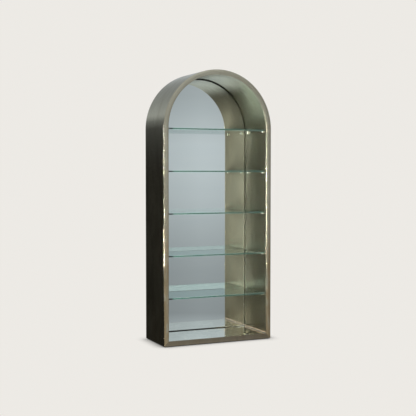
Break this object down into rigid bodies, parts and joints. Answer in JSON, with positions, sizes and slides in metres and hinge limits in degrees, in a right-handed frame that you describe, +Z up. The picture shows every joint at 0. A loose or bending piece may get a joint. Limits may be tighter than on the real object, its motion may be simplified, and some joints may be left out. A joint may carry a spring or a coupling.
{
  "type": "arched display showcase",
  "caption": "Tall open display cabinet with a half-round arched top, metal-clad walls, mirrored back, glass shelves on pegs and levelling feet.",
  "frame": {"origin": "on the floor, under the middle of the cabinet", "axes": "+Z up, +X across the width to the right as seen from the front, +Y towards the back, so the open front faces -Y"},
  "size_m": [0.914, 0.406, 2.134],
  "materials": {
    "clad_bronze": "antique bronze patina, brushed, satin",
    "trim_bronze": "antique bronze patina, brushed, satin",
    "board": "fibreboard, dark stained edges",
    "back_black": "fibreboard painted matte black",
    "mirror": "clear silvered glass",
    "shelf_glass": "clear float glass with green polished edges",
    "steel": "nickel plated",
    "pad_plastic": "black nylon",
    "silicone": "clear silicone sleeve on a peg"
  },
  "bodies": {
    "cabinet": {"outer_wrap": "clad_bronze", "inner_liner": "clad_bronze", "side_board_left": "board", "side_board_right": "board", "arch_board": "board", "base_board": "board", "floor_tray": "clad_bronze", "front_hoop": "trim_bronze", "front_rail": "trim_bronze", "back_board": "back_black", "mirror": "mirror", "peg_1_left_front": "steel", "peg_1_left_back": "steel", "peg_2_left_front": "steel", "peg_2_left_back": "steel", "peg_3_left_front": "steel", "peg_3_left_back": "steel", "peg_4_left_front": "steel", "peg_4_left_back": "steel", "peg_5_left_front": "steel", "peg_5_left_back": "steel", "peg_1_right_front": "steel", "peg_1_right_back": "steel", "peg_2_right_front": "steel", "peg_2_right_back": "steel", "peg_3_right_front": "steel", "peg_3_right_back": "steel", "peg_4_right_front": "steel", "peg_4_right_back": "steel", "peg_5_right_front": "steel", "peg_5_right_back": "steel", "back_screw_left_1": "steel", "back_screw_left_2": "steel", "back_screw_left_3": "steel", "back_screw_right_1": "steel", "back_screw_right_2": "steel", "back_screw_right_3": "steel", "back_screw_arch_1": "steel", "back_screw_arch_2": "steel", "back_screw_arch_3": "steel", "back_screw_arch_4": "steel", "back_screw_base_1": "steel", "back_screw_base_2": "steel", "foot_insert_front_left": "steel", "foot_insert_front_right": "steel", "foot_insert_back_left": "steel", "foot_insert_back_right": "steel"},
    "shelf_1": {"shelf_1": "shelf_glass"},
    "shelf_2": {"shelf_2": "shelf_glass"},
    "shelf_3": {"shelf_3": "shelf_glass"},
    "shelf_4": {"shelf_4": "shelf_glass"},
    "shelf_5": {"shelf_5": "shelf_glass"},
    "pad_front_left": {"foot_pad_front_left": "pad_plastic"},
    "stud_front_left": {"foot_stud_front_left": "steel"},
    "pad_front_right": {"foot_pad_front_right": "pad_plastic"},
    "stud_front_right": {"foot_stud_front_right": "steel"},
    "pad_back_left": {"foot_pad_back_left": "pad_plastic"},
    "stud_back_left": {"foot_stud_back_left": "steel"},
    "pad_back_right": {"foot_pad_back_right": "pad_plastic"},
    "stud_back_right": {"foot_stud_back_right": "steel"}
  },
  "joints": [
    {"name": "shelf_1_slide", "type": "slide", "parent": "cabinet", "child": "shelf_1", "axis": [0, -1, 0], "range_m": [0, 0.4]},
    {"name": "shelf_2_slide", "type": "slide", "parent": "cabinet", "child": "shelf_2", "axis": [0, -1, 0], "range_m": [0, 0.4]},
    {"name": "shelf_3_slide", "type": "slide", "parent": "cabinet", "child": "shelf_3", "axis": [0, -1, 0], "range_m": [0, 0.4]},
    {"name": "shelf_4_slide", "type": "slide", "parent": "cabinet", "child": "shelf_4", "axis": [0, -1, 0], "range_m": [0, 0.4]},
    {"name": "shelf_5_slide", "type": "slide", "parent": "cabinet", "child": "shelf_5", "axis": [0, -1, 0], "range_m": [0, 0.4]},
    {"name": "foot_front_left_lift", "type": "slide", "parent": "cabinet", "child": "pad_front_left", "axis": [0, 0, -1], "range_m": [0, 0.012]},
    {"name": "foot_front_left_turn", "type": "hinge", "parent": "pad_front_left", "child": "stud_front_left", "pos_m": [-0.385, -0.15, 0.02], "axis": [0, 0, -1], "range_deg": [0, 3460]},
    {"name": "foot_front_right_lift", "type": "slide", "parent": "cabinet", "child": "pad_front_right", "axis": [0, 0, -1], "range_m": [0, 0.012]},
    {"name": "foot_front_right_turn", "type": "hinge", "parent": "pad_front_right", "child": "stud_front_right", "pos_m": [0.385, -0.15, 0.02], "axis": [0, 0, -1], "range_deg": [0, 3460]},
    {"name": "foot_back_left_lift", "type": "slide", "parent": "cabinet", "child": "pad_back_left", "axis": [0, 0, -1], "range_m": [0, 0.012]},
    {"name": "foot_back_left_turn", "type": "hinge", "parent": "pad_back_left", "child": "stud_back_left", "pos_m": [-0.385, 0.15, 0.02], "axis": [0, 0, -1], "range_deg": [0, 3460]},
    {"name": "foot_back_right_lift", "type": "slide", "parent": "cabinet", "child": "pad_back_right", "axis": [0, 0, -1], "range_m": [0, 0.012]},
    {"name": "foot_back_right_turn", "type": "hinge", "parent": "pad_back_right", "child": "stud_back_right", "pos_m": [0.385, 0.15, 0.02], "axis": [0, 0, -1], "range_deg": [0, 3460]}
  ],
  "couplings": [
    {"joint": "foot_front_left_turn", "follows": "foot_front_left_lift", "rad_per_m": 5026.5},
    {"joint": "foot_front_right_turn", "follows": "foot_front_right_lift", "rad_per_m": 5026.5},
    {"joint": "foot_back_left_turn", "follows": "foot_back_left_lift", "rad_per_m": 5026.5},
    {"joint": "foot_back_right_turn", "follows": "foot_back_right_lift", "rad_per_m": 5026.5}
  ]
}
